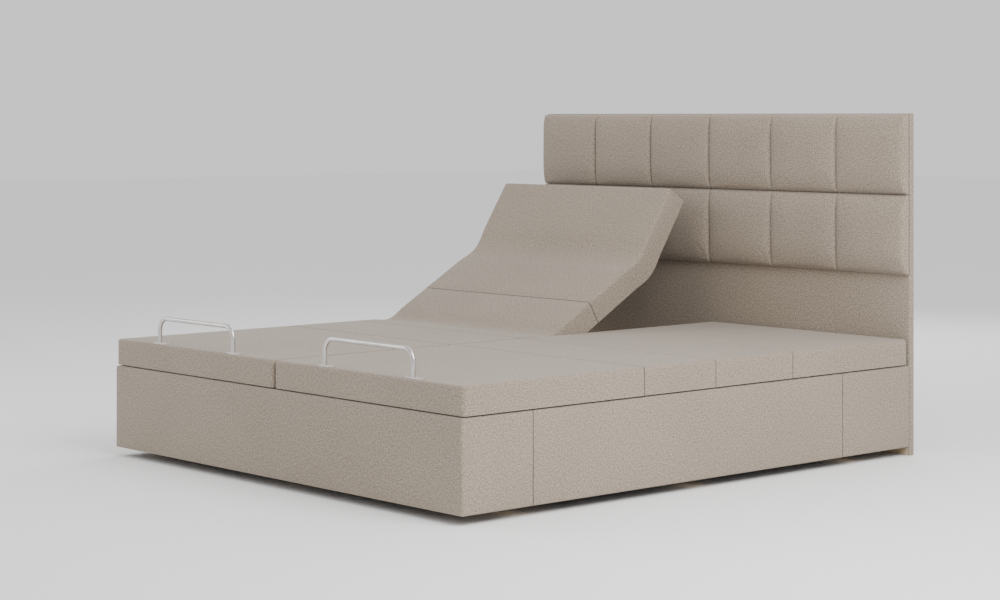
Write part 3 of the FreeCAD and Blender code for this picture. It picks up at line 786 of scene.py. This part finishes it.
class BED_OT_upholster_sections(bpy.types.Operator):
    """Covers the moving sections of both halves, shaped to how each half stands at rest"""
    bl_idname = "bed.upholster_sections"
    bl_label = "Upholster Sections"
    BOARD, END_RAIL, CORNER, FILL = 0.0335, 0.024, 0.012, 0.95
    FINE, COARSE, ACROSS, HEAD_REACH = 0.007, 0.04, 0.045, 1.25
    BESIDE_BEND, CLEAR, FLAT = 0.05, 0.02, 0.03

    def execute(self, context):
        cloth, shape = context.scene.bed_cloth, context.scene.bed_sections
        calf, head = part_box("right_calf_deck"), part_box("right_head_deck")
        foot_end, head_end = calf[0].y, head[1].y
        thigh_seam, seat_seam, back_seam = section_seams().values()
        covers = (
            ("calf_cover", foot_end, thigh_seam, "knee", ("calf_deck", "thigh_deck"), ("calf", "thigh")),
            ("thigh_cover", thigh_seam, seat_seam, "thigh", (), ("thigh", "base")),
            ("seat_cover", seat_seam, back_seam, "back", ("seat_deck",), ("base", "back")),
            ("head_cover", back_seam, head_end, "head", ("back_deck", "head_deck"), ("back", "head")),
        )
        for side, sign in SIDES.items():
            for name, y0, y1, hinge, nodes, bodies in covers:
                low, high = Vector((calf[0].x, y0, calf[0].z)), Vector((calf[1].x, y1, calf[1].z))
                piece = self.cover(f"{side}_{name}", low, high, y0 == foot_end, y1 == head_end, cloth,
                                   shape, self.pivot(side, hinge).y)
                if sign < 0:
                    mirror(piece)
                self.bend(piece, side, hinge, bodies, shape.bend)
                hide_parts(*[f"{side}_{node}" for node in nodes])
        return {"FINISHED"}

    def pivot(self, side, hinge):
        return lowered_pivot(side) if hinge == "head" else hinge_place(side, hinge)

    def cover(self, name, low, high, foot_closed, head_closed, cloth, shape, hinge_y):
        """A board with its side skirts as one upholstered shell, flat and on the right-hand side."""
        skirt, under = shape.skirt, high.z - self.BOARD
        piece = block(name, low, high)
        edit(piece)
        in_low, in_high = low.x + skirt, high.x - skirt
        y_low = low.y + self.END_RAIL * foot_closed
        y_high = high.y - self.END_RAIL * head_closed
        ends = ((low.y, foot_closed), (high.y, head_closed))
        open_ends = [y for y, shut in ends if not shut]
        closed_ends = [y for y, shut in ends if shut]
        cut(piece, 0, [in_low, in_high])
        cut(piece, 1, [y for y in (y_low, y_high) if y not in open_ends])
        cut(piece, 2, [under])

        def hollow(f):
            c = middle(f)
            inside = in_low < c.x < in_high and y_low < c.y < y_high
            return inside and f.normal.z < -0.9 and near(c.z, low.z)

        pick(piece, "FACE", hollow)
        bpy.ops.mesh.extrude_region_move(TRANSFORM_OT_translate={"value": (0, 0, under - low.z)})
        pick(piece, "FACE", lambda f: in_low < middle(f).x < in_high and middle(f).z < under - HAIR
             and any(at(f, 1, y) for y in open_ends) and abs(f.normal.y) > 0.9)
        bpy.ops.mesh.delete(type="FACE")
        bpy.ops.mesh.select_all(action="SELECT")
        bpy.ops.mesh.remove_doubles(threshold=1e-5)
        bpy.ops.mesh.normals_make_consistent(inside=False)

        def outer(e):
            c = middle(e)
            return near(c.x, low.x) or near(c.x, high.x)

        if closed_ends:
            round_off(piece, lambda e: runs_along(e, 2) and outer(e)
                      and any(at(e, 1, y) for y in closed_ends), self.CORNER, 5)
        round_off(piece, lambda e: at(e, 2, high.z) and
                  not any(at(e, 1, y, 1e-3) and runs_along(e, 0) for y in open_ends)
                  and (outer(e) or e.is_manifold and e.calc_face_angle() > 0.5), cloth.edge, 4)
        for y in open_ends:
            round_off(piece, lambda e: at(e, 1, y) and e.is_manifold and e.calc_face_angle() > 0.5
                      and (outer(e) or middle(e).z > under + 1e-3), cloth.seam, 3)
        reach = shape.bend + self.BESIDE_BEND
        first, last = low.y + self.CLEAR, high.y - self.CLEAR
        bending = [hinge_y - reach + self.FINE * i for i in range(int(2 * reach / self.FINE) + 1)]
        cut(piece, 1, [y for y in bending if first < y < last])
        cut(piece, 1, [y for y in spaced(low.y, high.y, self.COARSE)
                       if abs(y - hinge_y) > reach and first < y < last])
        cut(piece, 0, spaced(in_low, in_high, self.ACROSS))
        done()
        dress(piece, None, "taupe_upholstery", "cloth", "lining", "seam")
        for face in piece.data.polygons:
            c = face.center
            inside = in_low - HAIR < c.x < in_high + HAIR and low.z + HAIR < c.z < under + HAIR
            # Faces at an open end's seam get the painted seam shade (material 2): dark colour where the groove's
            # shadow falls
            sewn = any(abs(c.y - y) < cloth.seam / 2 for y in open_ends) and abs(face.normal.y) < 0.999
            lined = inside and y_low - HAIR < c.y < y_high + HAIR
            face.material_index = 1 if lined else 2 if sewn else 0
        soften(piece, shape.softness, lambda p: p.z > high.z - HAIR and in_low < p.x < in_high
               and low.y + self.FLAT < p.y < high.y - self.FLAT)
        lay_cloth(piece)
        return piece

    def bend(self, piece, side, hinge, bodies, reach):
        """Bends a cover to how its half stands at rest."""
        bodies = [body if body == "base" else f"{side}_{body}" for body in bodies]
        pivot, angle = self.pivot(side, hinge), 0.0
        if hinge in ("back", "head"):
            angle = rest_angle(side, hinge)
        if hinge == "head":
            reach *= self.HEAD_REACH
        start, end = pivot - Vector((0, reach, 0)), pivot + Vector((0, reach, 0))
        end = pivot + Matrix.Rotation(angle, 3, "X") @ (end - pivot)
        if angle:
            for vertex in piece.data.vertices:
                vertex.co = bent(vertex.co, pivot, angle, start, end)
        if hinge == "head":
            flat_to_rest(piece, side)
            start, end = back_turn(side) @ start, back_turn(side) @ end
        piece.data.update()
        smooth(piece, 40)
        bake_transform(piece)


class BED_OT_stitch_sections(bpy.types.Operator):
    """Sews a row of topstitching on each side of the seams across the moving sections"""
    bl_idname = "bed.stitch_sections"
    bl_label = "Stitch Sections"
    PITCH, LENGTH, THICK, BESIDE, MARGIN = 0.009, 0.0062, 0.0013, 0.0065, 0.016

    def execute(self, context):
        seams = section_seams()
        low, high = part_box("right_seat_deck")
        count = int((high.x - low.x - 2 * self.MARGIN) / self.PITCH)
        for side, sign in SIDES.items():
            for name, body in (("thigh", f"{side}_thigh"), ("seat", "base"), ("back", f"{side}_back")):
                start = (low.x if sign > 0 else -high.x) + self.MARGIN
                centre = Vector((start + self.LENGTH / 2, seams[name] - self.BESIDE, high.z + HAIR))
                size = Vector((self.LENGTH, self.THICK, self.THICK)) / 2
                stitch = chamfer(block(f"{side}_{name}_stitching", centre - size, centre + size), 0.0004, 1)
                repeat(stitch, count, (self.PITCH, 0, 0))
                repeat(stitch, 2, (0, 2 * self.BESIDE, 0))
                if name == "back":
                    flat_to_rest(stitch, side)
                smooth(stitch, 50)
                dress(stitch, body, "taupe_upholstery", "thread")
        return {"FINISHED"}


class BED_OT_fix_retainers(bpy.types.Operator):
    """Screws a foot plate to the deck around each leg of the mattress retainers"""
    bl_idname = "bed.fix_retainers"
    bl_label = "Fix Retainers"
    THICK, HALF_WIDTH, CORNER, RIM = 0.0026, 0.034, 0.007, 0.0007
    LEG, SUNK, AHEAD, BEHIND = 0.007, 0.0006, 0.0004, 0.012
    HEAD, HEAD_HEIGHT, FROM_END = 0.0042, 0.0022, 0.009

    def execute(self, context):
        for side in SIDES:
            low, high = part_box(f"{side}_mattress_retainer")
            for end, x in (("inner", low.x + self.LEG), ("outer", high.x - self.LEG)):
                foot = plate(f"{side}_{end}_retainer_plate",
                             (x - self.HALF_WIDTH, low.y - self.AHEAD, low.z - self.SUNK),
                             (x + self.HALF_WIDTH, high.y + self.BEHIND, low.z + self.THICK - self.SUNK),
                             self.CORNER, self.RIM, 5)
                reach = self.HALF_WIDTH - self.FROM_END
                heads = [disc("screw", (x + way * reach, high.y + 0.003, low.z + self.THICK), self.HEAD,
                              self.HEAD_HEIGHT, sides=24) for way in (-1, 1)]
                for head in heads:
                    self.recess(head)
                foot = join([foot] + heads, foot.name)
                smooth(foot, 40)
                dress(foot, f"{side}_calf", "retainer_finish", "nickel")
        return {"FINISHED"}

    def recess(self, head):
        """Sinks a round socket in the screw's head."""
        edit(head)
        pick(head, "FACE", lambda f: f.normal.z > 0.9)
        sink(0.0021, (0, 0, -0.0013))
        done()


class BED_OT_trim_actuators(bpy.types.Operator):
    """Adds the lids, screws, collars and motor caps of the actuators"""
    bl_idname = "bed.trim_actuators"
    bl_label = "Trim Actuators"
    COLLAR, PROUD, RIBS, LID_DEPTH, FROM_RIM = 0.018, 0.0015, 5, 0.010, 0.006
    CAP_RADIUS, CAP_DEPTH, CAP_RISE = 0.0335, 0.0145, 0.006

    def execute(self, context):
        for side in SIDES:
            for kind, toward in (("back", 1), ("leg", -1), ("head", 1)):
                self.trim(side, kind, toward)
        return {"FINISHED"}

    def trim(self, side, kind, toward):
        low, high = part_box(f"right_{kind}_actuator")
        if side == "left":
            low.x, high.x = -high.x, -low.x
        small = kind == "head"
        case_length, tube_r, case_half = (0.08, 0.013, 0.03) if small else (0.075, 0.017, 0.045)
        x = (low.x + high.x) / 2
        axis_z = high.z - (0.026 if small else 0.030)
        rear = low.y if toward > 0 else high.y
        near_end = rear + toward * case_length
        tube_end = high.y if toward > 0 else low.y
        parts = []
        collars = ((near_end + toward * 0.006, 0.004), (tube_end - toward * self.COLLAR / 2, 0.003))
        for place, reach in collars:
            ring = disc("collar", (x, place, axis_z), tube_r + reach, self.COLLAR, "Y", 40)
            self.bore(ring, x, tube_r - 0.001)
            parts.append(chamfer(ring, 0.001))
        y0, y1 = sorted((rear + toward * 0.004, near_end - toward * 0.004))
        lid_half = case_half + self.PROUD
        parts.append(plate("lid", (x - lid_half, y0, high.z - self.LID_DEPTH),
                           (x + lid_half, y1, high.z + 0.0018), 0.006, 0.0012))
        for rib in range(self.RIBS):
            y = y0 + (y1 - y0) * (rib + 1.5) / (self.RIBS + 2)
            parts.append(chamfer(block("rib", (x - case_half * 0.6, y - 0.0012, high.z + 0.001),
                                       (x + case_half * 0.6, y + 0.0012, high.z + 0.0036)), 0.0008))
        trim = join(parts, f"{side}_{kind}_actuator_trim")
        corners = [(x + way * (case_half - self.FROM_RIM), y, high.z + 0.0025) for way in (-1, 1)
                   for y in (y0 + self.FROM_RIM, y1 - self.FROM_RIM)]
        heads = screws(corners, 0.0033, 0.003, f"{side}_{kind}_actuator_screws")
        body = f"{side}_back" if small else "base"
        pieces = [(trim, "charcoal_plastic", "housing"), (heads, "bright_steel", "zinc")]
        if not small:
            centre_z = low.z + self.CAP_RISE
            cap = disc("cap", (x, rear + toward * case_length / 2, centre_z), self.CAP_RADIUS,
                       self.CAP_DEPTH, "Z", 48)
            edit(cap)
            round_off(cap, lambda e: at(e, 2, centre_z - self.CAP_DEPTH / 2), 0.003, 3)
            pick(cap, "FACE", lambda f: f.normal.z < -0.9)
            sink(0.008, (0, 0, 0.0015))
            done()
            cap.name = cap.data.name = f"{side}_{kind}_motor_cap"
            pieces.append((cap, "charcoal_plastic", "housing"))
        for piece, slot, finish in pieces:
            if small:
                flat_to_rest(piece, side)
            smooth(piece, 40)
            dress(piece, body, slot, finish)

    def bore(self, ring, x, radius):
        """Makes a disc across Y into a ring."""
        edit(ring)
        pick(ring, "FACE", lambda f: abs(f.normal.y) > 0.9)
        wall = max(v.co.x for v in ring.data.vertices) - x - radius
        bpy.ops.mesh.inset(thickness=wall, use_even_offset=True)
        bpy.ops.mesh.bridge_edge_loops()
        done()


class BED_OT_trim_control_box(bpy.types.Operator):
    """Adds the control box's lid, vents, screws and socket row"""
    bl_idname = "bed.trim_control_box"
    bl_label = "Trim Control Box"
    PROUD, VENTS, VENT_PITCH, SOCKETS, SOCKET_PITCH = 0.0016, 12, 0.0095, 5, 0.038

    def execute(self, context):
        low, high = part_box("control_box")
        proud = self.PROUD
        parts = [plate("control_box_trim", (low.x + 0.004, low.y + 0.006, low.z - proud),
                       (high.x - 0.010, high.y - 0.006, low.z + 0.004), 0.006, 0.0008)]
        vent = chamfer(block("vent", (low.x + 0.02, low.y + 0.05, low.z - proud - 0.0016),
                             (high.x - 0.026, low.y + 0.0525, low.z - proud + 0.001)), 0.0006)
        repeat(vent, self.VENTS, (0, self.VENT_PITCH, 0))
        parts.append(vent)
        for socket in range(self.SOCKETS):
            y = low.y + 0.03 + socket * self.SOCKET_PITCH
            parts.append(chamfer(block("socket", (high.x - 0.001, y, low.z + 0.016),
                                       (high.x + 0.0035, y + 0.022, low.z + 0.032)), 0.0015))
        trim = join(parts, "control_box_trim")
        corners = [(x, y, low.z - proud - 0.0006) for x in (low.x + 0.012, high.x - 0.018)
                   for y in (low.y + 0.014, high.y - 0.014)]
        heads = screws(corners, 0.0035, 0.0028, "control_box_screws")
        for piece, slot, finish in ((trim, "charcoal_plastic", "housing"), (heads, "bright_steel", "zinc")):
            smooth(piece, 40)
            dress(piece, "base", slot, finish)
        return {"FINISHED"}


class BED_OT_staple_lining(bpy.types.Operator):
    """Staples the lining to the back of the headboard"""
    bl_idname = "bed.staple_lining"
    bl_label = "Staple Lining"
    INSET, PITCH, CROWN, WIRE, RECESS = 0.055, 0.045, 0.010, 0.0011, 0.0012

    def execute(self, context):
        low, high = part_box("headboard_board")
        rows = []
        for axis in (0, 2):
            across = 2 if axis == 0 else 0
            length = high[axis] - low[axis] - 2 * self.INSET
            count = int(length / self.PITCH)
            size = Vector((self.WIRE,) * 3) / 2
            size[axis] = self.CROWN / 2
            centre = Vector((0, high.y - self.RECESS, 0))
            centre[axis] = low[axis] + self.INSET + (length - (count - 1) * self.PITCH) / 2
            centre[across] = low[across] + self.INSET
            row = chamfer(block("staples", centre - size, centre + size), 0.0003, 1)
            steps = ((axis, count, self.PITCH),
                     (across, 2, high[across] - low[across] - 2 * self.INSET))
            for way, times, apart in steps:
                step = [0, 0, 0]
                step[way] = apart
                repeat(row, times, step)
            rows.append(row)
        staples = join(rows, "headboard_staples")
        smooth(staples, 40)
        dress(staples, "base", "bright_steel", "zinc")
        return {"FINISHED"}


# ---- studio --------------------------------------------------------------------------------------
class BED_OT_set_stage(bpy.types.Operator):
    """Lays the plain floor, hangs the soft lights and places the camera"""
    bl_idname = "bed.set_stage"
    bl_label = "Set Stage"
    CAMERA, CAMERA_TURN, CAMERA_SHIFT = (5.6395, -5.1008, 1.1474), math.radians(48.26), -0.183
    FLOOR_SIZE, SKY = 60, 0.95

    def execute(self, context):
        studio = context.scene.bed_studio
        select_only()
        bpy.ops.mesh.primitive_plane_add(size=self.FLOOR_SIZE, location=(0, 0, 0))
        floor = settle(bpy.context.object, "studio_floor")
        floor.data.materials.append(plain_floor(studio))
        self.world(context.scene)
        self.area("key_light", (3.3, -0.6, 2.9), (0, 0.2, 0.3), 2.6, studio.key)
        self.area("fill_light", (-3.2, -3.0, 2.0), (0, -0.6, 0.3), 2.5, studio.key * 0.25)
        self.area("back_light", (-2.0, 4.2, 3.0), (0, 0.5, 0.5), 3.0, studio.key * 0.5)
        bpy.ops.object.camera_add(location=self.CAMERA, rotation=(math.pi / 2, 0, self.CAMERA_TURN))
        camera = bpy.context.object
        camera.data.lens = studio.lens
        camera.data.sensor_width = 36
        camera.data.shift_y = self.CAMERA_SHIFT
        context.scene.camera = camera
        return {"FINISHED"}

    def world(self, scene):
        world = bpy.data.worlds.new("studio")
        world.use_nodes = True
        background = world.node_tree.nodes["Background"]
        background.inputs["Color"].default_value = (1.0, 1.0, 1.0, 1.0)
        background.inputs["Strength"].default_value = self.SKY
        scene.world = world

    def area(self, name, place, target, size, power):
        way = Vector(target) - Vector(place)
        turn = way.to_track_quat("-Z", "Y").to_euler()
        bpy.ops.object.light_add(type="AREA", location=place, rotation=turn)
        light = bpy.context.object
        light.name = name
        light.data.size = size
        light.data.energy = power


class BED_PT_panel(bpy.types.Panel):
    """Lists the steps that upholster and finish the bed base"""
    bl_label = "Bed Base"
    bl_idname = "BED_PT_panel"
    bl_space_type = "VIEW_3D"
    bl_region_type = "UI"
    bl_category = "Bed Base"

    def draw(self, context):
        for settings in SETTINGS:
            group = getattr(context.scene, settings)
            for name in group.__annotations__:
                self.layout.prop(group, name)
        for operator in OPERATORS:
            self.layout.operator(operator.bl_idname)


SETTINGS = {"bed_cloth": BedClothSettings, "bed_headboard": BedHeadboardSettings,
            "bed_sections": BedSectionSettings, "bed_studio": BedStudioSettings}
OPERATORS = (BED_OT_finish_frame, BED_OT_upholster_box, BED_OT_upholster_headboard, BED_OT_pad_headboard,
             BED_OT_upholster_sections, BED_OT_stitch_sections, BED_OT_fix_retainers, BED_OT_trim_actuators,
             BED_OT_trim_control_box, BED_OT_staple_lining, BED_OT_set_stage)


def register():
    for group in SETTINGS.values():
        bpy.utils.register_class(group)
    for name, group in SETTINGS.items():
        setattr(bpy.types.Scene, name, bpy.props.PointerProperty(type=group))
    for operator in OPERATORS:
        bpy.utils.register_class(operator)
    bpy.utils.register_class(BED_PT_panel)


def unregister():
    bpy.utils.unregister_class(BED_PT_panel)
    for operator in reversed(OPERATORS):
        bpy.utils.unregister_class(operator)
    for name, group in SETTINGS.items():
        delattr(bpy.types.Scene, name)
        bpy.utils.unregister_class(group)


def main():
    register()
    for operator in OPERATORS:
        group, name = operator.bl_idname.split(".")
        if "FINISHED" not in getattr(getattr(bpy.ops, group), name)():
            raise RuntimeError(f"{operator.bl_label} did not finish")


if __name__ == "__main__":
    main()
